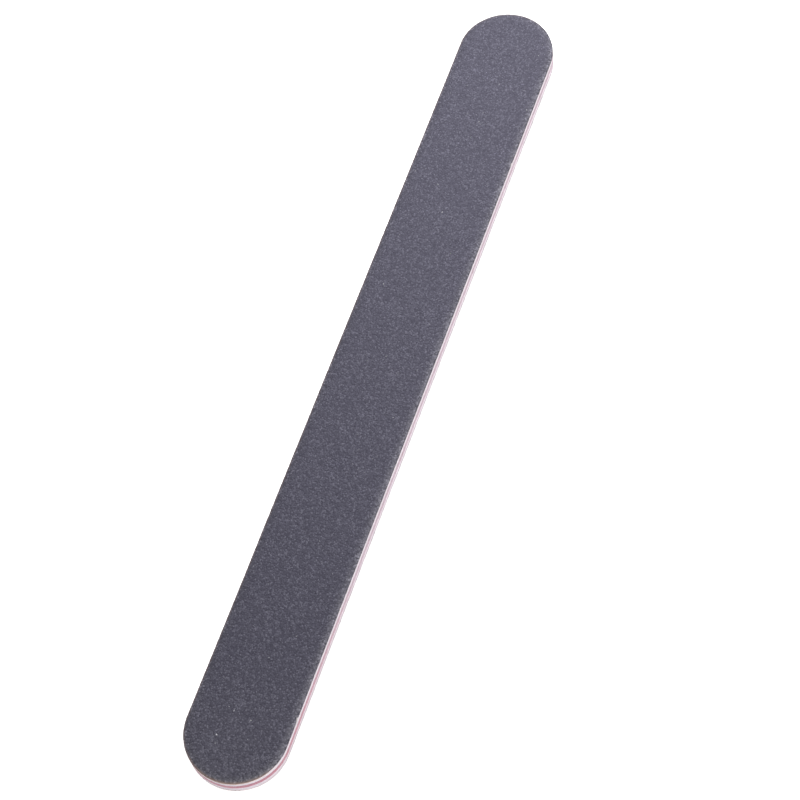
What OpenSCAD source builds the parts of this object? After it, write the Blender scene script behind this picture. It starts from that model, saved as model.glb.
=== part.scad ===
// Emery board: a stiff plastic core between two foam pads, faced on both sides with
// abrasive paper, all laminated as a sheet and then die-cut to a round-ended strip.
// Length runs along X, width along Y. The lower abrasive face lies on Z = 0.

/* [Outline] */
// Length of the board, tip to tip
board_length = 178; // [120:1:240]
// Width of the board, which also sets the half-round ends
board_width = 20; // [12:0.5:30]

/* [Layers] */
// Thickness of each abrasive coat, resin and grains together
coat_t = 0.15; // [0.08:0.01:0.3]
// Thickness of each sheet of backing paper
paper_t = 0.25; // [0.12:0.01:0.4]
// Thickness of the adhesive film that holds each paper to its foam pad
paper_film_t = 0.08; // [0.04:0.01:0.15]
// Thickness of each foam pad
foam_t = 1.1; // [0.8:0.05:2.5]
// Thickness of the adhesive film that holds each foam pad to the core
core_film_t = 0.06; // [0.04:0.01:0.15]
// Thickness of the plastic core
core_t = 1.2; // [0.4:0.05:2]

/* [Cut edge] */
// How far the die presses the rim of the upper face down
upper_press_depth = 0.25; // [0.02:0.01:0.4]
// How far in from the rim the upper face's pressed band reaches
upper_press_reach = 2; // [0.5:0.1:4]
// How far the cutting bed presses the rim of the lower face up
lower_press_depth = 0.07; // [0.02:0.01:0.4]
// How far in from the rim the lower face's pressed band reaches
lower_press_reach = 0.7; // [0.5:0.1:4]
// Depth of the hollow that the foam's cut edge springs back to
foam_hollow = 0.14; // [0.02:0.01:0.18]
// Distance by which foam and adhesive lie back from the edge of the paper and the core
foam_setback = 0.03; // [0:0.01:0.1]
// Size of the small break along the core's cut edges
core_edge_break = 0.06; // [0.02:0.01:0.12]

/* [Hidden] */
$fn = 128;

// Colours of the real layers
coat_colour = "#5b5a66";
paper_colour = "#ece4dc";
film_colour = "#e9dfd2";
foam_colour = "#f5eef1";
core_colour = "#bd7a8c";

// How many straight steps draw the slope of a pressed rim, and the foam's hollow
press_steps = 6;
hollow_steps = 8;
// Points of an outline keep at least this far apart
least_step = 0.001;

half_w = board_width / 2;
straight_l = board_length - board_width;
soft_half_w = half_w - foam_setback;

// Heights of the joints between layers, measured out from the middle of the core
core_face = core_t / 2;
foam_seat = core_face + core_film_t;
foam_face = foam_seat + foam_t;
paper_seat = foam_face + paper_film_t;
coat_seat = paper_seat + paper_t;
board_face = coat_seat + coat_t;

// Depth and reach of the pressed rim on the upper or the lower face
function press_on(upper) = upper
    ? [upper_press_depth, upper_press_reach]
    : [lower_press_depth, lower_press_reach];

// Slope of a pressed rim: level where the band starts, and steepest at the rim.
// Each point is [distance from the centre line, depth]
function press_curve(press) =
    let (depth = press[0], reach = press[1])
    [
        for (i = [0 : press_steps])
            let (share = i / press_steps)
                [half_w - reach * (1 - share), depth * share * share]
    ];

// The pressed part of a face, from the level part out to edge_w
function pressed_face(height, press, edge_w) =
    let (curve = press_curve(press))
    concat(
        [for (p = curve) if (edge_w - p[0] > least_step) [p[0], height - p[1]]],
        [[edge_w, height - lookup(edge_w, curve)]]
    );

function reversed(points) = [for (i = [len(points) - 1 : -1 : 0]) points[i]];

// Half section of a layer of even thickness that follows the pressed rim
function bent_layer(seat, thickness, press, edge_w) = concat(
    [[0, seat + thickness]],
    pressed_face(seat + thickness, press, edge_w),
    reversed(pressed_face(seat, press, edge_w)),
    [[0, seat]]
);

// Half section of the film between the core and a foam pad
function core_film_layer() = [
    [0, foam_seat],
    [soft_half_w, foam_seat],
    [soft_half_w, core_face],
    [0, core_face]
];

// The foam's cut edge between two heights: a shallow arc, deepest at half height
function hollow_edge(top, bottom) =
    let (
        half_h = (top - bottom) / 2,
        radius = (half_h * half_h + foam_hollow * foam_hollow) / (2 * foam_hollow),
        half_angle = asin(half_h / radius)
    )
    [
        for (i = [1 : hollow_steps - 1])
            let (angle = half_angle * (1 - 2 * i / hollow_steps))
                [
                    soft_half_w - foam_hollow + radius * (1 - cos(angle)),
                    bottom + half_h + radius * sin(angle)
                ]
    ];

// Half section of a foam pad: pressed on its outer face, flat on the core
function foam_layer(press) =
    let (
        outer_face = pressed_face(foam_face, press, soft_half_w),
        rim_z = outer_face[len(outer_face) - 1][1]
    )
    concat(
        [[0, foam_face]],
        outer_face,
        hollow_edge(rim_z, foam_seat),
        [[soft_half_w, foam_seat], [0, foam_seat]]
    );

// Half section of the core, with a small break on both cut edges
function core_layer() = [
    [0, core_face],
    [half_w - core_edge_break, core_face],
    [half_w, core_face - core_edge_break],
    [half_w, core_edge_break - core_face],
    [half_w - core_edge_break, -core_face],
    [0, -core_face]
];

// Carries a half section along both sides and round both ends of the board
module round_ended_strip(half_section) {
    other_half = [for (p = reversed(half_section)) if (p[0] > 0) [-p[0], p[1]]];
    rotate([90, 0, 90])
        linear_extrude(straight_l, center = true)
            polygon(concat(half_section, other_half));
    for (end = [-1, 1])
        translate([end * straight_l / 2, 0, 0])
            rotate([0, 0, -90 * end])
                rotate_extrude(angle = 180)
                    polygon(half_section);
}

// Layers are drawn above the middle of the core, and the lower ones are turned over
module on_side(upper) {
    translate([0, 0, board_face])
        if (upper)
            children();
        else
            mirror([0, 0, 1])
                children();
}

module abrasive_coat(upper) {
    color(coat_colour)
        on_side(upper)
            round_ended_strip(bent_layer(coat_seat, coat_t, press_on(upper), half_w));
}

module backing_paper(upper) {
    color(paper_colour)
        on_side(upper)
            round_ended_strip(bent_layer(paper_seat, paper_t, press_on(upper), half_w));
}

module paper_adhesive(upper) {
    color(film_colour)
        on_side(upper)
            round_ended_strip(
                bent_layer(foam_face, paper_film_t, press_on(upper), soft_half_w)
            );
}

module foam_pad(upper) {
    color(foam_colour)
        on_side(upper)
            round_ended_strip(foam_layer(press_on(upper)));
}

module core_adhesive(upper) {
    color(film_colour)
        on_side(upper)
            round_ended_strip(core_film_layer());
}

module core() {
    color(core_colour)
        on_side(true)
            round_ended_strip(core_layer());
}

abrasive_coat(true);  // upper_abrasive_coat
backing_paper(true);  // upper_backing_paper
paper_adhesive(true);  // upper_paper_adhesive
foam_pad(true);  // upper_foam_pad
core_adhesive(true);  // upper_core_adhesive
core();
core_adhesive(false);  // lower_core_adhesive
foam_pad(false);  // lower_foam_pad
paper_adhesive(false);  // lower_paper_adhesive
backing_paper(false);  // lower_backing_paper
abrasive_coat(false);  // lower_abrasive_coat
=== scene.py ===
"""Dresses an emery board: two grit coats on backing paper, glued over foam pads on a plastic core.

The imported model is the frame. Every layer is rebuilt as a finer mesh where its node lies, with the
ragged marks of the die on its cut edge, and gets the finish of its own stock. A few bare crystals
are scattered on both faces.
"""
import math

import bmesh
import bpy
import numpy as np
from mathutils import Matrix, Vector


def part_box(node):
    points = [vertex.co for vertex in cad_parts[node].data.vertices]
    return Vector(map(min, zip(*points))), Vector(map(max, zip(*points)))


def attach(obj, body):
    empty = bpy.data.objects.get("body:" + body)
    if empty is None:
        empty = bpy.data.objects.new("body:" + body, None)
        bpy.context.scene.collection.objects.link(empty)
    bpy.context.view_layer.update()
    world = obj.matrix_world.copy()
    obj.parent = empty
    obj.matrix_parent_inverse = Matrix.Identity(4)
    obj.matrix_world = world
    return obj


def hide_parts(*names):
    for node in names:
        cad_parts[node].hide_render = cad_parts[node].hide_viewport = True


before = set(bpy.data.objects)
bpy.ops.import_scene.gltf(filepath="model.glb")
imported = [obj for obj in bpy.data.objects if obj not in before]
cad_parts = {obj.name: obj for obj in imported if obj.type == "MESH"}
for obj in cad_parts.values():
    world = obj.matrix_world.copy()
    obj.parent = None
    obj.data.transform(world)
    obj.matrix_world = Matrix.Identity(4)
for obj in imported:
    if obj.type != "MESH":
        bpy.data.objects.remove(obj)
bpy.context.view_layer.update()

bl_info = {
    "name": "Emery Board Finish",
    "version": (1, 0, 0),
    "blender": (4, 5, 0),
    "location": "View3D > Sidebar > Emery board",
    "description": "Builds the layers of a cushioned emery board and their finishes",
    "category": "Object",
}

BODY = "root"
MM = 0.001
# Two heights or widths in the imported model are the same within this
SAME = 1e-6
UPPER = 1
LOWER = -1
# The cut edge goes over into the face within this distance
CUT_FADE = 0.6 * MM
# Distance between the rows of points on hidden faces: level, bent, thin, and under the grit
LEVEL_STEP = 2.5 * MM
BENT_STEP = 1.0 * MM
THIN_STEP = 0.5 * MM
COAT_BACK_STEP = 2.0 * MM


def node_places(node):
    """The points of a CAD node, as an array of x, y and z."""
    return np.array([vertex.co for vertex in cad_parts[node].data.vertices])


FACE_PLACES = node_places("upper_abrasive_coat")
HALF_W = FACE_PLACES[:, 1].max()
BOARD_T = FACE_PLACES[:, 2].max()
# The round ends are centred this far from the middle of the board, where the straight sides stop
END_X = FACE_PLACES[FACE_PLACES[:, 1] > HALF_W - SAME][:, 0].max()
HALF_L = END_X + HALF_W
RIM_L = 4 * END_X + 2 * math.pi * HALF_W


def linear(code):
    """The linear colour of an sRGB hex value."""
    parts = [int(code[i:i + 2], 16) / 255 for i in (1, 3, 5)]
    return [c / 12.92 if c <= 0.04045 else ((c + 0.055) / 1.055) ** 2.4 for c in parts]


# Sizes and colours

def length(name, description, default):
    """A size in metres."""
    return bpy.props.FloatProperty(
        name=name, description=description, default=default, min=0.0,
        subtype="DISTANCE", unit="LENGTH", precision=6)


def colour(name, description, code):
    """A colour, given as an sRGB hex value."""
    return bpy.props.FloatVectorProperty(
        name=name, description=description, default=linear(code), size=3,
        min=0.0, max=1.0, subtype="COLOR")


class GritSettings(bpy.types.PropertyGroup):
    """Sizes and colours of the abrasive coats."""
    spacing: length("Mesh spacing", "Distance between points of the face", 0.22 * MM)
    grain: length("Grain", "Distance from one grain to the next", 0.31 * MM)
    relief: length("Relief", "How far the coat rises where the grains crowd", 0.03 * MM)
    grain_rise: length("Grain rise", "How far each grain stands out of the resin", 0.07 * MM)
    stray: length("Stray crystals", "Mean width of the bare crystals", 0.24 * MM)
    chipping: length("Chipping", "How far the die chips grains off the rim", 0.035 * MM)
    dusty_lit_band: length("Worn band", "Width of the dusty band along the rubbed rim", 2.2 * MM)
    bared_shaded_band: length("Bared band", "Width of the line round the tip that lost its grit", 0.4 * MM)
    # Painted shade, with dark resin: the darkest tone, in the deep gaps between the grains
    pit: colour("Pits", "Deep gaps between the grains", "#1a191f")
    resin: colour("Resin", "Dark resin between the grains", "#2a2930")
    grit: colour("Grit", "Resin-covered grains", "#3f3e46")
    crystal: colour("Crystal", "Bare tops of the grains", "#575661")
    bright: colour("Bright tops", "The brightest of the bare tops", "#9896a4")
    # Painted glint: the near-white of the bright crystals
    glint_colour: colour("Frost", "The few frosted crystals", "#ebe9f4")
    lustre: colour("Lustre", "Tint of the light off the grit", "#e2deff")
    # Painted light as well as dust: the paler rim on the +Y side and near tip, and the pale cut edge
    # of the lower coat
    dust: colour("Dust", "Dust and crushed grit along the rim", "#dedbe4")
    # Also painted shade: the brown round all but the +Y side of the rim
    bared: colour("Bared paper", "Resin-stained paper where the grit is gone", "#c4a592")


class StockSettings(bpy.types.PropertyGroup):
    """Sizes and colours of the paper, foam, films and core."""
    wander: length("Wander", "How far the cut wanders from its true line", 0.03 * MM)
    fuzz: length("Paper fuzz", "How ragged the paper's cut edge is", 0.02 * MM)
    cell: length("Foam cell", "Width of a cell of the foam", 0.2 * MM)
    pit: length("Foam pit", "Depth of the opened cells on the cut edge", 0.045 * MM)
    shear: length("Shear marks", "Depth of the marks on the core's cut edge", 0.018 * MM)
    paper: colour("Paper", "Cream backing paper", "#f0e9ea")
    fibre: colour("Fibre", "Darker fibres in the paper", "#d6c9c6")
    # Partly painted shade: the brown of the upper paper's cut edge at the near tip
    stain_and_shade: colour("Stain", "Resin and dust worked into the paper's edge at the tip", "#b9967f")
    film: colour("Film", "Adhesive film seen on edge", "#ebe2e3")
    foam: colour("Foam", "Walls of the foam's cells", "#f6edf4")
    # Painted shade: the darker insides of the opened cells
    cell_shade: colour("Foam pits", "Inside of the opened cells", "#e4d5df")
    core: colour("Core", "Dusty rose polystyrene", "#ad6679")
    core_fleck: colour("Core flecks", "Brown flecks of reground stock", "#8d5a5e")
    core_stress: colour("Stress marks", "Plastic whitened by the die", "#b69cab")


def power(name, description, default):
    """The power of a lamp, in watts."""
    return bpy.props.FloatProperty(
        name=name, description=description, default=default, min=0.0, unit="POWER")


class StageSettings(bpy.types.PropertyGroup):
    """The camera, the lamps and the floor."""
    lens: bpy.props.FloatProperty(
        name="Lens", description="Focal length in millimetres", default=106.27, min=1.0)
    roll: bpy.props.FloatProperty(
        name="Roll", description="Turn of the camera about its view",
        default=math.radians(-12.43), subtype="ANGLE")
    key_watts: power("Key lamp", "Power of the lamp over the far end", 1.6)
    side_watts: power("Side lamp", "Power of the low lamp on the right", 0.65)
    front_watts: power("Front lamp", "Power of the low lamp at the near end", 0.3)
    fill: bpy.props.FloatProperty(
        name="Fill", description="Brightness of the light all round", default=0.155, min=0.0)
    floor: colour("Floor", "Colour of the floor", "#f2f2f2")
    glow: bpy.props.FloatProperty(
        name="Floor glow", description="Light that the floor gives off, so that it shows as white",
        default=0.9, min=0.0, max=1.0, subtype="FACTOR")


# Shape of the layers

def random_field(seed, step, span_u, span_v=MM):
    """A function of two lengths that gives smooth random values from -1 to 1, one bump each step.

    It repeats after span_u, so that it can run round the rim, and holds its last value past
    span_v. With u alone it gives the values of one line.
    """
    count_u = max(2, round(span_u / step))
    count_v = max(2, math.ceil(span_v / step) + 2)
    values = np.random.default_rng(seed).uniform(-1, 1, (count_u, count_v))

    def field(u, v=0.0):
        at_u = np.mod(u / span_u, 1) * count_u
        at_v = np.clip(v / step, 0, count_v - 1.001)
        i = np.floor(at_u).astype(int) % count_u
        j = np.floor(at_v).astype(int)
        part_u = at_u - np.floor(at_u)
        part_v = at_v - j
        part_u = part_u * part_u * (3 - 2 * part_u)
        part_v = part_v * part_v * (3 - 2 * part_v)
        after = (i + 1) % count_u
        start = values[i, j] * (1 - part_u) + values[after, j] * part_u
        end = values[i, j + 1] * (1 - part_u) + values[after, j + 1] * part_u
        return start * (1 - part_v) + end * part_v

    return field


def pressed_rim(node, side):
    """Where a face starts to bend towards its rim, from the centre line, and how deep it goes."""
    places = node_places(node)
    outward = side * places[:, 2]
    across = np.abs(places[:, 1])
    level = across[outward > outward.max() - SAME].max()
    depth = outward.max() - outward[across > HALF_W - SAME].max()
    return level, depth


PRESSED = {
    UPPER: pressed_rim("upper_abrasive_coat", UPPER),
    LOWER: pressed_rim("lower_abrasive_coat", LOWER),
}


def press_drop(side, r):
    """How far a face of that side lies below its level part, r from the centre line."""
    level, depth = PRESSED[side]
    return depth * np.clip((r - level) / (HALF_W - level), 0, 1) ** 2


class Layer:
    """The half section of a CAD layer: its width, and its two faces as functions of r.

    side says which of its faces bends with the pressed rim, with 0 for neither, and bends_inside
    that the face turned to the core bends too.
    """

    def __init__(self, node, side=0, bends_inside=False):
        low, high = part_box(node)
        self.node = node
        self.side = side
        self.bends_inside = bends_inside
        self.edge_w = high.y
        inner_drop = press_drop(side, self.edge_w) if bends_inside else 0
        self.top_z = high.z - (inner_drop if side == LOWER else 0)
        self.bottom_z = low.z + (inner_drop if side == UPPER else 0)

    def top(self, r):
        """Height of the upper face."""
        if self.side == UPPER:
            return self.top_z - press_drop(UPPER, r)
        if self.side == LOWER and self.bends_inside:
            return self.top_z + press_drop(LOWER, r)
        return self.top_z + 0 * r

    def bottom(self, r):
        """Height of the lower face."""
        if self.side == LOWER:
            return self.bottom_z + press_drop(LOWER, r)
        if self.side == UPPER and self.bends_inside:
            return self.bottom_z - press_drop(UPPER, r)
        return self.bottom_z + 0 * r


def stations(spacing):
    """Places round the rim: the point on the centre line that each belongs to, its outward
    direction, and how far round the rim it is. They run anticlockwise, seen from above."""
    side_count = round(2 * END_X / spacing)
    end_count = round(math.pi * HALF_W / spacing)
    quarter = math.pi / 2
    right_turn = np.linspace(-quarter, quarter, end_count, endpoint=False)
    along = np.linspace(END_X, -END_X, side_count, endpoint=False)
    centre = np.concatenate([np.full(end_count, END_X), along, np.full(end_count, -END_X), -along])
    angle = np.concatenate([
        right_turn, np.full(side_count, quarter),
        right_turn + math.pi, np.full(side_count, -quarter)])
    end_run = (right_turn + quarter) * HALF_W
    side_run = END_X - along
    half_rim = RIM_L / 2
    run = np.concatenate([
        end_run, math.pi * HALF_W + side_run,
        half_rim + end_run, half_rim + math.pi * HALF_W + side_run])
    return centre, np.cos(angle), np.sin(angle), run


def ring_rows(layer, top_step, bottom_step, edge_rows):
    """Rows of a half section, from the middle of the upper face round the cut edge to the middle
    of the lower face: [r, z, face], where face is 1 above, 0 on the cut edge and -1 below."""
    edge = layer.edge_w
    top_r = np.linspace(0, edge, round(edge / top_step) + 1)
    bottom_r = np.linspace(edge, 0, round(edge / bottom_step) + 1)
    edge_z = np.linspace(layer.top(edge), layer.bottom(edge), edge_rows + 2)[1:-1]
    rows = [(r, layer.top(r), 1) for r in top_r]
    rows += [(edge, z, 0) for z in edge_z]
    rows += [(r, layer.bottom(r), -1) for r in bottom_r]
    return np.array(rows, float)


def ring_quads(row_count, count):
    """Quads between each row of points and the next, closed round the rim."""
    first = np.arange(row_count - 1)[:, None] * count + np.arange(count)
    after = np.arange(row_count - 1)[:, None] * count + np.roll(np.arange(count), -1)
    return np.stack([first, first + count, after + count, after], axis=-1).reshape(-1, 4)


def join_spine(mesh, row_count, count):
    """Joins the points that meet on the centre line, where the first and last rows lie."""
    shell = bmesh.new()
    shell.from_mesh(mesh)
    shell.verts.ensure_lookup_table()
    last = (row_count - 1) * count
    spine = [shell.verts[i] for i in [*range(count), *range(last, last + count)]]
    bmesh.ops.remove_doubles(shell, verts=spine, dist=SAME)
    shell.to_mesh(mesh)
    shell.free()
    mesh.update()


def layer_piece(name, layer, rows, spacing, cut, face=None, marks=None):
    """Carries the rows round the rim as one closed mesh.

    cut(run, z, x, out_y) gives how far the cut edge lies back from its true line, and face(x, y)
    how far the outer face stands out, both in metres. marks names the shares that the material
    reads, each worked out from the distance to the rim, the rim's x and the outward direction.
    """
    centre, out_x, out_y, run = stations(spacing)
    rim_x = centre + HALF_W * out_x
    r, z, on_face = (column[:, None] * np.ones(len(run)) for column in rows.T)
    near_rim = np.clip(1 - (layer.edge_w - r) / CUT_FADE, 0, 1) ** 2
    r = r - near_rim * cut(run[None, :], z, rim_x[None, :], out_y[None, :])
    x = centre + r * out_x
    y = r * out_y
    if face is not None:
        z = z + np.where(on_face == layer.side, layer.side * face(x, y), 0)
    points = np.stack([x, y, z], axis=-1).reshape(-1, 3)
    mesh = bpy.data.meshes.new(name)
    mesh.from_pydata(points.tolist(), [], ring_quads(*r.shape).tolist())
    inset = layer.edge_w - rows[:, 0][:, None]
    for mark, share in (marks or {}).items():
        values = share(inset, rim_x, out_x, out_y).astype(np.float32).ravel()
        mesh.attributes.new(mark, "FLOAT", "POINT").data.foreach_set("value", values)
    join_spine(mesh, *r.shape)
    piece = bpy.data.objects.new(name, mesh)
    bpy.context.scene.collection.objects.link(piece)
    return piece


def die_wander(amount):
    """The slow wander of the die's line, the same for every layer that it cuts."""
    slow = random_field(11, 14 * MM, RIM_L)
    quick = random_field(12, 3 * MM, RIM_L)

    def wander(run):
        return amount * (0.75 * slow(run) + 0.25 * quick(run))

    return wander


def place(piece, layer, material):
    """Seats a finished layer in the frame, in place of its CAD node."""
    piece.data.materials.append(material)
    piece.data.polygons.foreach_set("use_smooth", [True] * len(piece.data.polygons))
    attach(piece, BODY)
    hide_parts(layer.node)


# Materials

def socket(sockets, name):
    """The socket with that identifier or, failing that, that name."""
    for found in sockets:
        if found.identifier == name:
            return found
    return sockets[name]


def add_node(tree, kind, settings, take=None):
    """Adds a node. Each setting is one of its properties, or an input that takes a value or
    another node's output. stops fills a colour ramp. Returns the node, or the output named by
    take."""
    node = tree.nodes.new(kind)
    for key, value in settings.items():
        if key == "stops":
            ramp = node.color_ramp
            while len(ramp.elements) < len(value):
                ramp.elements.new(1.0)
            for element, (place_on_ramp, shade) in zip(ramp.elements, value):
                element.position = place_on_ramp
                element.color = (*shade, 1.0)
        elif hasattr(node, key):
            setattr(node, key, value)
        elif isinstance(value, bpy.types.NodeSocket):
            tree.links.new(value, socket(node.inputs, key))
        else:
            socket(node.inputs, key).default_value = value
    return socket(node.outputs, take) if take else node


def new_material(name):
    """An empty material, its node tree, its output node and the object's own place in mm."""
    material = bpy.data.materials.new(name)
    material.use_nodes = True
    tree = material.node_tree
    tree.nodes.clear()
    output = add_node(tree, "ShaderNodeOutputMaterial", {})
    here = add_node(tree, "ShaderNodeTexCoord", {}, "Object")
    place_mm = add_node(tree, "ShaderNodeMapping", {
        "Vector": here, "Scale": (1 / MM, 1 / MM, 1 / MM)}, "Vector")
    return material, tree, output, place_mm


def rgba(shade):
    """A property's colour as a socket takes it."""
    return (*shade, 1.0)


def grain_tone(tree, place_mm, grain, random_grain, fine, settings):
    """How much of each grain stands clear of the resin, as a share, and the tone that it takes."""
    clump_mm = 0.5
    clumps = add_node(tree, "ShaderNodeTexNoise", {
        "Vector": place_mm, "Scale": 1 / clump_mm, "Detail": 1.0}, "Fac")
    # Two random values a grain, so that most grains come out near the middle tone
    either = add_node(tree, "ShaderNodeMath", {
        "operation": "ADD", "Value": random_grain.outputs["Red"],
        "Value_001": random_grain.outputs["Blue"]}, "Value")
    crowded = add_node(tree, "ShaderNodeMath", {
        "operation": "MULTIPLY_ADD", "Value": clumps, "Value_001": 0.5,
        "Value_002": either}, "Value")
    mixed = add_node(tree, "ShaderNodeMath", {
        "operation": "MULTIPLY_ADD", "Value": fine, "Value_001": 1.2,
        "Value_002": crowded}, "Value")
    # Each grain darkens towards the dark resin round it, with painted shade in the deepest gaps
    sunk = add_node(tree, "ShaderNodeMath", {
        "operation": "MULTIPLY_ADD", "Value": grain.outputs["Distance"], "Value_001": -1.0,
        "Value_002": mixed}, "Value")
    share = add_node(tree, "ShaderNodeMapRange", {
        "Value": sunk, "From Min": 0.1, "From Max": 2.6}, "Result")
    tone = add_node(tree, "ShaderNodeValToRGB", {
        "Fac": share,
        "stops": [(0.13, settings.pit), (0.34, settings.resin), (0.5, settings.grit),
                  (0.67, settings.crystal), (0.95, settings.bright)]}, "Color")
    return share, tone


def worn_and_lit_tone(tree, place_mm, share, tone, settings):
    """The tone with dust and painted light on the rim's grains, and with paper showing where the
    grit is gone round the tip, painted shade round the rest of the rim.
    """
    worn = add_node(tree, "ShaderNodeAttribute", {"attribute_name": "worn"}, "Fac")
    # The end that does the filing, from X = 66 mm on, keeps a little dust between its grains
    along = add_node(tree, "ShaderNodeSeparateXYZ", {"Vector": place_mm}, "X")
    working_end = add_node(tree, "ShaderNodeMapRange", {
        "Value": along, "From Min": 66.0, "From Max": 90.0, "To Max": 0.09}, "Result")
    rubbed_and_lit = add_node(tree, "ShaderNodeMath", {
        "operation": "ADD", "Value": worn, "Value_001": working_end}, "Value")
    dusty_and_lit = add_node(tree, "ShaderNodeMath", {
        "operation": "MULTIPLY", "Value": rubbed_and_lit, "Value_001": share}, "Value")
    dusted_and_lit = add_node(tree, "ShaderNodeMix", {
        "data_type": "RGBA", "Factor_Float": dusty_and_lit, "A_Color": tone,
        "B_Color": rgba(settings.dust)}, "Result_Color")
    # Paper where the grit is gone round the tip; round all but the +Y side its brown is painted
    # shade
    at_tip = add_node(tree, "ShaderNodeAttribute", {"attribute_name": "bared"}, "Fac")
    patch_mm = 0.8
    patchy = add_node(tree, "ShaderNodeTexNoise", {
        "Vector": place_mm, "Scale": 1 / patch_mm, "Detail": 4.0, "Roughness": 0.7}, "Fac")
    torn = add_node(tree, "ShaderNodeMath", {
        "operation": "MULTIPLY", "Value": at_tip, "Value_001": patchy}, "Value")
    return add_node(tree, "ShaderNodeMix", {
        "data_type": "RGBA", "Factor_Float": torn, "A_Color": dusted_and_lit,
        "B_Color": rgba(settings.bared)}, "Result_Color")


def silicon_carbide_on_resin(settings):
    """Silicon carbide grit scattered on resin and sized over, matt, with a few bare facets.

    To the eye it is a dark bluish-grey speckle with stray glints, paler along the rim from dust and
    from painted light.
    """
    material, tree, output, place_mm = new_material("silicon_carbide_grit_in_resin")
    # Drawn coarser than life: real grains of this grit lie 0.1 to 0.2 mm apart, too close to show
    grain_mm = settings.grain / MM
    facet_mm = 0.16
    grain = add_node(tree, "ShaderNodeTexVoronoi", {"Vector": place_mm, "Scale": 1 / grain_mm})
    random_grain = add_node(tree, "ShaderNodeSeparateColor", {"Color": grain.outputs["Color"]})
    fine = add_node(tree, "ShaderNodeTexNoise", {
        "Vector": place_mm, "Scale": 1 / facet_mm, "Detail": 2.0, "Roughness": 0.6}, "Fac")
    share, tone = grain_tone(tree, place_mm, grain, random_grain, fine, settings)
    worn = worn_and_lit_tone(tree, place_mm, share, tone, settings)
    # About one grain in fifty has a clean facet
    finish = add_node(tree, "ShaderNodeMapRange", {
        "Value": random_grain.outputs["Green"], "From Min": 0.97, "From Max": 0.99,
        "To Min": 0.58, "To Max": 0.42}, "Result")
    # Each grain is a rounded peak, roughened by its facets
    height = add_node(tree, "ShaderNodeMath", {
        "operation": "MULTIPLY_ADD", "Value": grain.outputs["Distance"], "Value_001": -1.0,
        "Value_002": fine}, "Value")
    bump = add_node(tree, "ShaderNodeBump", {
        "Height": height, "Strength": 0.7, "Distance": settings.grain_rise}, "Normal")
    # The IOR lies between that of resin, 1.5, and that of bare silicon carbide, 2.65
    surface = add_node(tree, "ShaderNodeBsdfPrincipled", {
        "Base Color": worn, "Roughness": finish, "Normal": bump, "IOR": 1.7,
        "Specular Tint": rgba(settings.lustre), "Diffuse Roughness": 0.6}, "BSDF")
    tree.links.new(surface, output.inputs["Surface"])
    return material


def bare_silicon_carbide(settings):
    """Crushed silicon carbide, uncoated: dark, or painted near white as a glint, and bright where a
    facet meets light.
    """
    material, tree, output, place_mm = new_material("crushed_silicon_carbide_crystal")
    cloud_mm = 0.1
    cloud = add_node(tree, "ShaderNodeTexNoise", {
        "Vector": place_mm, "Scale": 1 / cloud_mm, "Detail": 2.0}, "Fac")
    frosting = add_node(tree, "ShaderNodeAttribute", {"attribute_name": "frosting"}, "Fac")
    amount = add_node(tree, "ShaderNodeMath", {
        "operation": "MULTIPLY_ADD", "Value": cloud, "Value_001": 0.3,
        "Value_002": frosting}, "Value")
    tone = add_node(tree, "ShaderNodeValToRGB", {
        "Fac": amount, "stops": [(0.15, settings.grit), (1.0, settings.glint_colour)]}, "Color")
    # Silicon carbide bends light almost as strongly as diamond
    surface = add_node(tree, "ShaderNodeBsdfPrincipled", {
        "Base Color": tone, "Roughness": 0.22, "IOR": 2.65}, "BSDF")
    tree.links.new(surface, output.inputs["Surface"])
    return material


def backing_paper(settings):
    """Cream paper, calendered and die-cut: matt, with a fibrous edge and darker fibres."""
    material, tree, output, place_mm = new_material("calendered_backing_paper")
    # Drawn coarser than life: real fibres are about 0.03 mm wide, too fine to show
    fibre_mm = 0.25
    lengthwise = add_node(tree, "ShaderNodeMapping", {
        "Vector": place_mm, "Scale": (0.35, 1.0, 2.2)}, "Vector")
    fibres = add_node(tree, "ShaderNodeTexNoise", {
        "Vector": lengthwise, "Scale": 1 / fibre_mm, "Detail": 4.0, "Roughness": 0.7}, "Fac")
    tone = add_node(tree, "ShaderNodeValToRGB", {
        "Fac": fibres, "stops": [(0.34, settings.fibre), (0.52, settings.paper)]}, "Color")
    # Browner at the near tip, partly painted shade
    at_tip = add_node(tree, "ShaderNodeAttribute", {"attribute_name": "stained"}, "Fac")
    stained = add_node(tree, "ShaderNodeMix", {
        "data_type": "RGBA", "Factor_Float": at_tip, "A_Color": tone,
        "B_Color": rgba(settings.stain_and_shade)}, "Result_Color")
    bump = add_node(tree, "ShaderNodeBump", {
        "Height": fibres, "Strength": 0.5, "Distance": 0.02 * MM}, "Normal")
    surface = add_node(tree, "ShaderNodeBsdfPrincipled", {
        "Base Color": stained, "Roughness": 0.85, "Normal": bump, "IOR": 1.47,
        "Specular IOR Level": 0.3}, "BSDF")
    tree.links.new(surface, output.inputs["Surface"])
    return material


def acrylic_film(settings):
    """Acrylic transfer adhesive seen on edge: a soft, slightly glossy cream line."""
    material, tree, output, place_mm = new_material("acrylic_transfer_adhesive")
    smear_mm = 0.9
    smears = add_node(tree, "ShaderNodeTexNoise", {
        "Vector": place_mm, "Scale": 1 / smear_mm, "Detail": 3.0}, "Fac")
    tone = add_node(tree, "ShaderNodeValToRGB", {
        "Fac": smears, "stops": [(0.35, settings.fibre), (0.6, settings.film)]}, "Color")
    surface = add_node(tree, "ShaderNodeBsdfPrincipled", {
        "Base Color": tone, "Roughness": 0.45, "IOR": 1.47}, "BSDF")
    tree.links.new(surface, output.inputs["Surface"])
    return material


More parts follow.
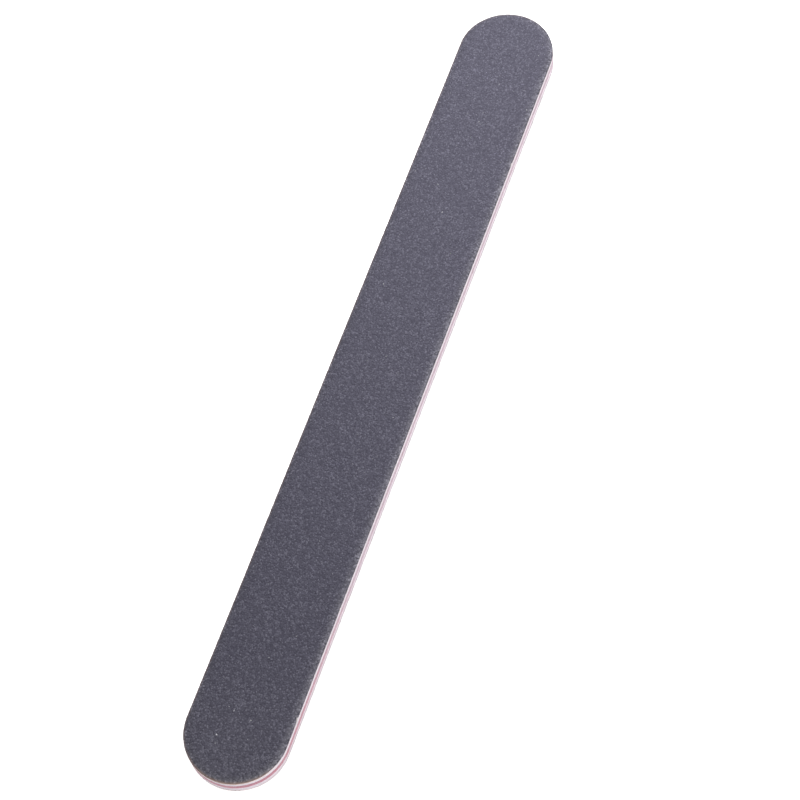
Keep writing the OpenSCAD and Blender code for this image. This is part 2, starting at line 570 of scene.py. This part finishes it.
def closed_cell_foam(settings):
    """White cross-linked foam, die-cut: matt and soft, pitted by the cells that the cut opened, with
    painted shade inside them.
    """
    material, tree, output, place_mm = new_material("closed_cell_foam_die_cut")
    shade_mm = 2.5
    cells = add_node(tree, "ShaderNodeTexVoronoi", {
        "Vector": place_mm, "Scale": MM / settings.cell}, "Distance")
    broad = add_node(tree, "ShaderNodeTexNoise", {
        "Vector": place_mm, "Scale": 1 / shade_mm, "Detail": 3.0}, "Fac")
    depth = add_node(tree, "ShaderNodeMath", {
        "operation": "MULTIPLY_ADD", "Value": broad, "Value_001": 0.35,
        "Value_002": cells}, "Value")
    # The cells' insides are painted darker, painted shade
    tone = add_node(tree, "ShaderNodeValToRGB", {
        "Fac": depth, "stops": [(0.2, settings.cell_shade), (0.48, settings.foam)]}, "Color")
    # Rose smear from the core, with a painted reflection of the core's light
    smeared = add_node(tree, "ShaderNodeAttribute", {"attribute_name": "smeared"}, "Fac")
    rosy = add_node(tree, "ShaderNodeMix", {
        "data_type": "RGBA", "Factor_Float": smeared, "A_Color": tone,
        "B_Color": rgba(settings.core)}, "Result_Color")
    bump = add_node(tree, "ShaderNodeBump", {
        "Height": cells, "Strength": 0.5, "Distance": 0.05 * MM}, "Normal")
    surface = add_node(tree, "ShaderNodeBsdfPrincipled", {
        "Base Color": rosy, "Roughness": 0.9, "Normal": bump, "IOR": 1.5,
        "Specular IOR Level": 0.2, "Diffuse Roughness": 0.5}, "BSDF")
    tree.links.new(surface, output.inputs["Surface"])
    return material


def polystyrene_sheet(settings):
    """Reground rose polystyrene, die-cut: satin, with brown flecks and stress-white marks."""
    material, tree, output, place_mm = new_material("reground_polystyrene_die_cut")
    mark_mm = 0.35
    fleck_mm = 0.6
    upright = add_node(tree, "ShaderNodeMapping", {
        "Vector": place_mm, "Scale": (1.0, 1.0, 0.25)}, "Vector")
    shear = add_node(tree, "ShaderNodeTexNoise", {
        "Vector": upright, "Scale": 1 / mark_mm, "Detail": 3.0, "Roughness": 0.65}, "Fac")
    tone = add_node(tree, "ShaderNodeValToRGB", {
        "Fac": shear, "stops": [(0.5, settings.core), (0.9, settings.core_stress)]}, "Color")
    scatter = add_node(tree, "ShaderNodeTexVoronoi", {"Vector": place_mm, "Scale": 1 / fleck_mm})
    pick = add_node(tree, "ShaderNodeSeparateColor", {"Color": scatter.outputs["Color"]}, "Red")
    chosen = add_node(tree, "ShaderNodeMapRange", {
        "Value": pick, "From Min": 0.75, "From Max": 0.8}, "Result")
    spot = add_node(tree, "ShaderNodeMapRange", {
        "Value": scatter.outputs["Distance"], "From Min": 0.15, "From Max": 0.4,
        "To Min": 0.85, "To Max": 0.0}, "Result")
    fleck = add_node(tree, "ShaderNodeMath", {
        "operation": "MULTIPLY", "Value": chosen, "Value_001": spot}, "Value")
    stressed = add_node(tree, "ShaderNodeAttribute", {"attribute_name": "stressed"}, "Fac")
    whitened = add_node(tree, "ShaderNodeMix", {
        "data_type": "RGBA", "Factor_Float": stressed, "A_Color": tone,
        "B_Color": rgba(settings.core_stress)}, "Result_Color")
    flecked = add_node(tree, "ShaderNodeMix", {
        "data_type": "RGBA", "Factor_Float": fleck, "A_Color": whitened,
        "B_Color": rgba(settings.core_fleck)}, "Result_Color")
    bump = add_node(tree, "ShaderNodeBump", {
        "Height": shear, "Strength": 0.4, "Distance": 0.02 * MM}, "Normal")
    surface = add_node(tree, "ShaderNodeBsdfPrincipled", {
        "Base Color": flecked, "Roughness": 0.5, "Normal": bump, "IOR": 1.59}, "BSDF")
    tree.links.new(surface, output.inputs["Surface"])
    return material


# Pieces

# Nicks in the upper coat's rim where the board was knocked: place along the board, depth, length
NICKS = (
    (-53.2 * MM, 0.26 * MM, 0.9 * MM),
    (72.9 * MM, 0.36 * MM, 1.1 * MM),
    (50.0 * MM, 0.12 * MM, 0.6 * MM),
)
# Bare crystals on the upper face, painted near white as glints: place along and across the board,
# width
BRIGHT_CRYSTALS = (
    (80.7 * MM, -3.3 * MM, 0.36 * MM),
    (75.4 * MM, -1.9 * MM, 0.26 * MM),
    (76.2 * MM, 1.8 * MM, 0.24 * MM),
    (79.8 * MM, 2.6 * MM, 0.22 * MM),
    (-70.9 * MM, 1.3 * MM, 0.26 * MM),
)
# Crystals on each face, the bright ones among them, and how far from the rim they keep
CRYSTAL_COUNT = 90
CRYSTAL_MARGIN = 1.0 * MM


def nick_depth(x, out_y, share):
    """How deep the knocks go at x on the +Y side: sudden at the start, then tapering out."""
    depth = 0 * x
    for start, deep, long in NICKS:
        along = (x - start) / long
        inside = (along >= 0) & (along <= 1) & (out_y > 0.9)
        depth = depth + np.where(inside, share * deep * (1 - along), 0)
    return depth


def foam_hollow(node):
    """How deep the foam's cut edge is hollow, measured on its CAD node at half height."""
    places = node_places(node)
    across = np.abs(places[:, 1])
    rim = places[across > across.max() - SAME][:, 2]
    middle = (rim.max() + rim.min()) / 2
    half_way_up = abs(places[:, 2] - middle) < (rim.max() - rim.min()) / 5
    beside = (abs(places[:, 0]) < END_X + SAME) & (across > HALF_W / 2)
    return across.max() - across[half_way_up & beside].min()


def edge_break(node):
    """Size of the small break along a node's cut edges."""
    places = node_places(node)
    rim = places[np.abs(places[:, 1]) > HALF_W - SAME][:, 2]
    return places[:, 2].max() - rim.max()


def add_coat(side, node, seed, grit, wander, material):
    """Lays the grit on one face: chipped along the cut, paler along the rim from dust and painted
    light, its grit gone at the tip, with painted shade round all but the +Y side.
    """
    layer = Layer(node, side, bends_inside=True)
    # Longer than the board, so that one end's grains aren't like the other's
    span = 2 * HALF_L + 2 * MM
    crowds = random_field(seed, 2.5 * grit.grain, span, 2 * HALF_W)
    broad = random_field(seed + 1, 6 * grit.grain, span, 2 * HALF_W)
    chips = random_field(seed + 3, 0.35 * MM, RIM_L)
    bites = random_field(seed + 4, 1.1 * MM, RIM_L)

    def face(x, y):
        u = x + HALF_L
        v = y + HALF_W
        return grit.relief * (0.7 * crowds(u, v) + 0.3 * broad(u, v))

    def cut(run, z, x, out_y):
        chipped = grit.chipping * np.clip(chips(run), 0, 1)
        bitten = 1.6 * grit.chipping * np.clip(bites(run) - 0.55, 0, 1)
        knocks = nick_depth(x, out_y, 1.0) if side == UPPER else 0
        return wander(run) + chipped + bitten + knocks

    # The rim is paler on its +Y side and near tip, which face the lamps: dust, and painted light.
    # The lower coat's cut edge is painted pale, painted light.
    def worn(inset, x, out_x, out_y):
        turned = np.clip(0.5 + 0.5 * (0.45 * out_x + 0.9 * out_y), 0, 1) ** 1.5
        rubbed_and_lit = 0.2 + 0.8 * turned
        on_face = 0.8 * rubbed_and_lit * np.clip(1 - inset / grit.dusty_lit_band, 0, 1) ** 2.5
        on_edge = 0 if side == UPPER else 1.8
        return np.where(inset < SAME, on_edge, on_face)

    # The grit is gone in a thin line round the near tip. Less of the same brown lies round all but
    # the +Y side, where it is painted shade.
    def bared(inset, x, out_x, out_y):
        tip = 1.5 * np.clip(2.2 * out_x - 0.8, 0, 1) - 0.4 * np.clip(-out_y, 0, 1)
        other_side = 0.6 * np.clip(1 - 1.4 * out_y, 0, 1)
        return np.maximum(tip, other_side) * np.clip(1 - inset / grit.bared_shaded_band, 0, 1)

    steps = (grit.spacing, COAT_BACK_STEP) if side == UPPER else (COAT_BACK_STEP, grit.spacing)
    rows = ring_rows(layer, *steps, edge_rows=1)
    marks = {"worn": worn, "bared": bared}
    piece = layer_piece(node + "_grit", layer, rows, grit.spacing, cut, face, marks)
    place(piece, layer, material)


def add_crystal(crystals, place_at, width, rng):
    """Adds one crushed crystal, half sunk at that place: a ball of facets, no two alike. Returns
    its points."""
    made = bmesh.ops.create_icosphere(crystals, subdivisions=1, radius=width / 2)
    tilt = Matrix.Rotation(rng.uniform(0, 2 * math.pi), 3, Vector(rng.normal(size=3)).normalized())
    flat = Vector((1.0, rng.uniform(0.6, 1.0), rng.uniform(0.4, 0.6)))
    for vertex in made["verts"]:
        grown = tilt @ vertex.co * rng.uniform(0.75, 1.15)
        vertex.co = Vector(place_at) + Vector(a * b for a, b in zip(grown, flat))
    return made["verts"]


def add_stray_crystals(side, name, grit, material):
    """Scatters the bare crystals of one face."""
    layer = Layer(name + "_abrasive_coat", side, bends_inside=True)
    rng = np.random.default_rng(141 + side)
    crystals = bmesh.new()
    frosting = crystals.verts.layers.float.new("frosting")
    spots = list(BRIGHT_CRYSTALS) if side == UPPER else []
    while len(spots) < CRYSTAL_COUNT:
        x, y = rng.uniform((-HALF_L, -HALF_W), (HALF_L, HALF_W))
        r = math.hypot(max(abs(x) - END_X, 0), y)
        if r < HALF_W - CRYSTAL_MARGIN:
            spots.append((x, y, grit.stray * rng.uniform(0.5, 1.1)))
    for x, y, width in spots:
        r = math.hypot(max(abs(x) - END_X, 0), y)
        z = layer.top(r) if side == UPPER else layer.bottom(r)
        # The bright crystals are painted near white as glints, the others part way at random
        glinting = 1.0 if (x, y, width) in BRIGHT_CRYSTALS else rng.uniform(0, 0.5)
        for vertex in add_crystal(crystals, (x, y, z), width, rng):
            vertex[frosting] = glinting
    mesh = bpy.data.meshes.new(name + "_stray_crystals")
    crystals.to_mesh(mesh)
    crystals.free()
    mesh.materials.append(material)
    piece = bpy.data.objects.new(mesh.name, mesh)
    bpy.context.scene.collection.objects.link(piece)
    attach(piece, BODY)


def add_paper(side, node, seed, stock, wander, material):
    """Cuts one sheet of backing paper, with a ragged edge and, above, its edge browner at the near
    tip, partly resin and partly painted shade.
    """
    layer = Layer(node, side, bends_inside=True)
    ragged = random_field(seed, 0.25 * MM, RIM_L, BOARD_T)

    def cut(run, z, x, out_y):
        knocks = nick_depth(x, out_y, 0.25) if side == UPPER else 0
        return wander(run) + stock.fuzz * ragged(run, 5 * z) + knocks

    # The cut edge is browner at the near tip: resin, and painted shade
    def stained(inset, x, out_x, out_y):
        tip = np.clip(1.6 * out_x - 0.5, 0, 1) if side == UPPER else 0 * out_x
        return 0.8 * tip * np.clip(1 - inset / MM, 0, 1)

    rows = ring_rows(layer, THIN_STEP, THIN_STEP, edge_rows=3)
    spacing = 0.2 * MM
    piece = layer_piece(node + "_sheet", layer, rows, spacing, cut, marks={"stained": stained})
    place(piece, layer, material)


def add_film(side, node, seed, stock, wander, material):
    """Lays one film of adhesive, oozed a little along the cut. Side is 0 next to the core."""
    layer = Layer(node, side, bends_inside=side != 0)
    oozed = random_field(seed, 1.5 * MM, RIM_L)

    def cut(run, z, x, out_y):
        return wander(run) + 0.3 * stock.fuzz * oozed(run)

    rows = ring_rows(layer, THIN_STEP, THIN_STEP, edge_rows=1)
    spacing = 0.4 * MM
    piece = layer_piece(node + "_film", layer, rows, spacing, cut)
    place(piece, layer, material)


def add_pad(side, node, seed, stock, wander, material):
    """Cuts one foam pad, its edge sprung hollow and pitted by the cells that the cut opened."""
    layer = Layer(node, side)
    cells = random_field(seed, stock.cell, RIM_L, 2 * BOARD_T)
    lumps = random_field(seed + 1, 1.3 * MM, RIM_L, BOARD_T)
    top = layer.top(layer.edge_w)
    bottom = layer.bottom(layer.edge_w)
    hollow = foam_hollow(node)

    def cut(run, z, x, out_y):
        height = (2 * z - top - bottom) / (top - bottom)
        sprung = hollow * np.clip(1 - height ** 2, 0, 1)
        clear_of_glue = np.clip(3 - 3 * abs(height), 0, 1)
        opened = stock.pit * np.clip(cells(run, z), 0, 1) * clear_of_glue
        return wander(run) + sprung * (1 + 0.25 * lumps(run, z)) + opened

    # The die pulled a little of the core's plastic down over the lower pad's long sides, more of
    # it towards the near end. The same rose tint also paints the core's light on the pad: painted
    # reflection.
    def smeared(inset, x, out_x, out_y):
        smear_and_bounce_share = np.clip((x - 20 * MM) / (40 * MM), 0, 1) * np.clip(1 - 1.3 * out_x, 0, 1)
        return 0.13 * smear_and_bounce_share * (side == LOWER) + 0 * inset

    steps = (BENT_STEP, LEVEL_STEP) if side == UPPER else (LEVEL_STEP, BENT_STEP)
    rows = ring_rows(layer, *steps, edge_rows=9)
    spacing = 0.11 * MM
    piece = layer_piece(node + "_cushion", layer, rows, spacing, cut, marks={"smeared": smeared})
    place(piece, layer, material)


def add_core(stock, wander, material):
    """Cuts the core, with shear marks, nibbled spots and broken corners along the cut."""
    layer = Layer("core")
    shears = random_field(121, 0.16 * MM, RIM_L, BOARD_T)
    broad = random_field(122, 1.2 * MM, RIM_L, BOARD_T)
    nibbles = random_field(123, 0.6 * MM, RIM_L, BOARD_T)
    corner = edge_break("core")

    def cut(run, z, x, out_y):
        to_face = np.minimum(layer.top_z - z, z - layer.bottom_z)
        broken = np.clip(corner - to_face, 0, corner)
        sheared = stock.shear * (0.6 * shears(run, 0.25 * z) + 0.4 * broad(run, 0.5 * z))
        nibbled = 8 * stock.shear * np.clip(nibbles(run, z) - 0.55, 0, 1)
        return wander(run) + broken + sheared + nibbled

    # The die whitened the plastic all along the board but for its near end
    def stressed(inset, x, out_x, out_y):
        return 0.9 * np.clip((END_X - 5 * MM - x) / (30 * MM), 0, 1) + 0 * inset

    rows = ring_rows(layer, LEVEL_STEP, LEVEL_STEP, edge_rows=15)
    spacing = 0.12 * MM
    piece = layer_piece("core_sheet", layer, rows, spacing, cut, marks={"stressed": stressed})
    place(piece, layer, material)


# Stage

# Each lamp's place and the point that it lights, in metres, and the width of all three
KEY_LAMP = ((-0.33, -0.08, 0.34), (-0.07, 0.0, 0.0))
SIDE_LAMP = ((0.02, 0.45, 0.09), (-0.02, 0.0, 0.0))
FRONT_LAMP = ((0.45, 0.06, 0.09), (0.08, 0.0, 0.0))
LAMP_SIZE = 0.16
# The camera's place and the point that it looks at, as x, y and height over the upper rim
CAMERA_PLACE = (191.99 * MM, 116.29 * MM, 410.89 * MM)
CAMERA_TARGET = (5.31 * MM, 6.08 * MM, 0.0)
# How far the floor reaches each way, wider than every view, and how far it lies below the board
FLOOR_REACH = 3.0
FLOOR_DROP = 0.08 * MM


def add_floor(stage):
    """A pale floor just under the board."""
    mesh = bpy.data.meshes.new("floor")
    signs = ((-1, -1), (1, -1), (1, 1), (-1, 1))
    corners = [(x * FLOOR_REACH, y * FLOOR_REACH, -FLOOR_DROP) for x, y in signs]
    mesh.from_pydata(corners, [], [(0, 1, 2, 3)])
    floor = bpy.data.objects.new("floor", mesh)
    bpy.context.scene.collection.objects.link(floor)
    mesh.materials.append(pale_floor(stage))


def pale_floor(stage):
    """Matt white paint that gives off light of its own, so that it shows as white all over."""
    material, tree, output, _ = new_material("matt_painted_floor")
    lit = add_node(tree, "ShaderNodeBsdfDiffuse", {"Color": rgba(stage.floor)}, "BSDF")
    glow = add_node(tree, "ShaderNodeEmission", {"Strength": stage.glow}, "Emission")
    both = add_node(tree, "ShaderNodeAddShader", {"Shader": lit, "Shader_001": glow}, "Shader")
    tree.links.new(both, output.inputs["Surface"])
    return material


def is_seen(tree):
    """1 for a ray that shows what it meets: from the camera, off a gloss or through something
    clear. Other rays only bring light."""
    path = add_node(tree, "ShaderNodeLightPath", {})
    seen = add_node(tree, "ShaderNodeMath", {
        "operation": "MAXIMUM", "Value": path.outputs["Is Camera Ray"],
        "Value_001": path.outputs["Is Glossy Ray"]}, "Value")
    return add_node(tree, "ShaderNodeMath", {
        "operation": "MAXIMUM", "Value": seen,
        "Value_001": path.outputs["Is Transmission Ray"]}, "Value")


def add_world(stage):
    """Soft light from all round, which shows as white."""
    world = bpy.data.worlds.new("studio")
    world.use_nodes = True
    bpy.context.scene.world = world
    tree = world.node_tree
    tree.nodes.clear()
    strength = add_node(tree, "ShaderNodeMapRange", {
        "Value": is_seen(tree), "To Min": stage.fill, "To Max": 1.0}, "Result")
    background = add_node(tree, "ShaderNodeBackground", {"Strength": strength}, "Background")
    output = add_node(tree, "ShaderNodeOutputWorld", {})
    tree.links.new(background, output.inputs["Surface"])


def add_lamp(name, position, target, watts):
    """A square soft lamp that points at the target."""
    lamp = bpy.data.lights.new(name, "AREA")
    lamp.shape = "SQUARE"
    lamp.size = LAMP_SIZE
    lamp.energy = watts
    holder = bpy.data.objects.new(name, lamp)
    holder.location = position
    holder.rotation_mode = "QUATERNION"
    holder.rotation_quaternion = (Vector(target) - Vector(position)).to_track_quat("-Z", "Y")
    bpy.context.scene.collection.objects.link(holder)


def add_camera(stage):
    """The camera looks down on the board from beyond its near right side."""
    rim_z = BOARD_T - PRESSED[UPPER][1]
    x, y, height = CAMERA_PLACE
    position = Vector((x, y, rim_z + height))
    x, y, height = CAMERA_TARGET
    target = Vector((x, y, rim_z + height))
    camera = bpy.data.cameras.new("camera")
    camera.sensor_width = 36.0
    camera.lens = stage.lens
    camera.clip_start = 0.01
    holder = bpy.data.objects.new("camera", camera)
    aimed = (target - position).to_track_quat("-Z", "Y").to_matrix()
    turned = aimed @ Matrix.Rotation(stage.roll, 3, "Z")
    holder.matrix_world = Matrix.Translation(position) @ turned.to_4x4()
    bpy.context.scene.collection.objects.link(holder)
    bpy.context.scene.camera = holder


# Operators

class BOARD_OT_stage(bpy.types.Operator):
    """Set the floor, the lights and the camera"""
    bl_idname = "emery_board.stage"
    bl_label = "Stage"

    def execute(self, context):
        stage = context.scene.board_stage
        add_floor(stage)
        add_world(stage)
        add_lamp("key", *KEY_LAMP, stage.key_watts)
        add_lamp("side", *SIDE_LAMP, stage.side_watts)
        add_lamp("front", *FRONT_LAMP, stage.front_watts)
        add_camera(stage)
        context.scene.view_settings.view_transform = "Standard"
        return {"FINISHED"}


class BOARD_OT_core(bpy.types.Operator):
    """Cut the plastic core"""
    bl_idname = "emery_board.core"
    bl_label = "Core"

    def execute(self, context):
        stock = context.scene.board_stock
        add_core(stock, die_wander(stock.wander), polystyrene_sheet(stock))
        return {"FINISHED"}


class BOARD_OT_foam_pads(bpy.types.Operator):
    """Cut the two foam pads"""
    bl_idname = "emery_board.foam_pads"
    bl_label = "Foam pads"

    def execute(self, context):
        stock = context.scene.board_stock
        material = closed_cell_foam(stock)
        wander = die_wander(stock.wander)
        add_pad(UPPER, "upper_foam_pad", 101, stock, wander, material)
        add_pad(LOWER, "lower_foam_pad", 111, stock, wander, material)
        return {"FINISHED"}


class BOARD_OT_adhesive_films(bpy.types.Operator):
    """Lay the four films of adhesive"""
    bl_idname = "emery_board.adhesive_films"
    bl_label = "Adhesive films"

    def execute(self, context):
        stock = context.scene.board_stock
        material = acrylic_film(stock)
        wander = die_wander(stock.wander)
        add_film(UPPER, "upper_paper_adhesive", 81, stock, wander, material)
        add_film(0, "upper_core_adhesive", 82, stock, wander, material)
        add_film(0, "lower_core_adhesive", 83, stock, wander, material)
        add_film(LOWER, "lower_paper_adhesive", 84, stock, wander, material)
        return {"FINISHED"}


class BOARD_OT_backing_papers(bpy.types.Operator):
    """Cut the two sheets of backing paper"""
    bl_idname = "emery_board.backing_papers"
    bl_label = "Backing papers"

    def execute(self, context):
        stock = context.scene.board_stock
        material = backing_paper(stock)
        wander = die_wander(stock.wander)
        add_paper(UPPER, "upper_backing_paper", 61, stock, wander, material)
        add_paper(LOWER, "lower_backing_paper", 65, stock, wander, material)
        return {"FINISHED"}


class BOARD_OT_abrasive_coats(bpy.types.Operator):
    """Lay the grit on both faces"""
    bl_idname = "emery_board.abrasive_coats"
    bl_label = "Abrasive coats"

    def execute(self, context):
        grit = context.scene.board_grit
        material = silicon_carbide_on_resin(grit)
        wander = die_wander(context.scene.board_stock.wander)
        add_coat(UPPER, "upper_abrasive_coat", 21, grit, wander, material)
        add_coat(LOWER, "lower_abrasive_coat", 41, grit, wander, material)
        return {"FINISHED"}


class BOARD_OT_stray_crystals(bpy.types.Operator):
    """Scatter the few bare crystals on both faces"""
    bl_idname = "emery_board.stray_crystals"
    bl_label = "Stray crystals"

    def execute(self, context):
        grit = context.scene.board_grit
        material = bare_silicon_carbide(grit)
        add_stray_crystals(UPPER, "upper", grit, material)
        add_stray_crystals(LOWER, "lower", grit, material)
        return {"FINISHED"}


class BOARD_PT_workbench(bpy.types.Panel):
    """Lists the steps and the settings"""
    bl_idname = "BOARD_PT_workbench"
    bl_label = "Emery board"
    bl_space_type = "VIEW_3D"
    bl_region_type = "UI"
    bl_category = "Emery board"

    def draw(self, context):
        for operator in OPERATORS:
            self.layout.operator(operator.bl_idname)
        for group_name, group in SETTINGS:
            box = self.layout.box()
            for name in group.__annotations__:
                box.prop(getattr(context.scene, group_name), name)


SETTINGS = (
    ("board_grit", GritSettings),
    ("board_stock", StockSettings),
    ("board_stage", StageSettings),
)
OPERATORS = (
    BOARD_OT_stage,
    BOARD_OT_core,
    BOARD_OT_foam_pads,
    BOARD_OT_adhesive_films,
    BOARD_OT_backing_papers,
    BOARD_OT_abrasive_coats,
    BOARD_OT_stray_crystals,
)


def register():
    for name, group in SETTINGS:
        bpy.utils.register_class(group)
        setattr(bpy.types.Scene, name, bpy.props.PointerProperty(type=group))
    for item in (*OPERATORS, BOARD_PT_workbench):
        bpy.utils.register_class(item)


def unregister():
    for item in (BOARD_PT_workbench, *reversed(OPERATORS)):
        bpy.utils.unregister_class(item)
    for name, group in reversed(SETTINGS):
        delattr(bpy.types.Scene, name)
        bpy.utils.unregister_class(group)


def main():
    register()
    for operator in OPERATORS:
        step = operator.bl_idname.split(".")[1]
        getattr(bpy.ops.emery_board, step)()


if __name__ == "__main__":
    main()
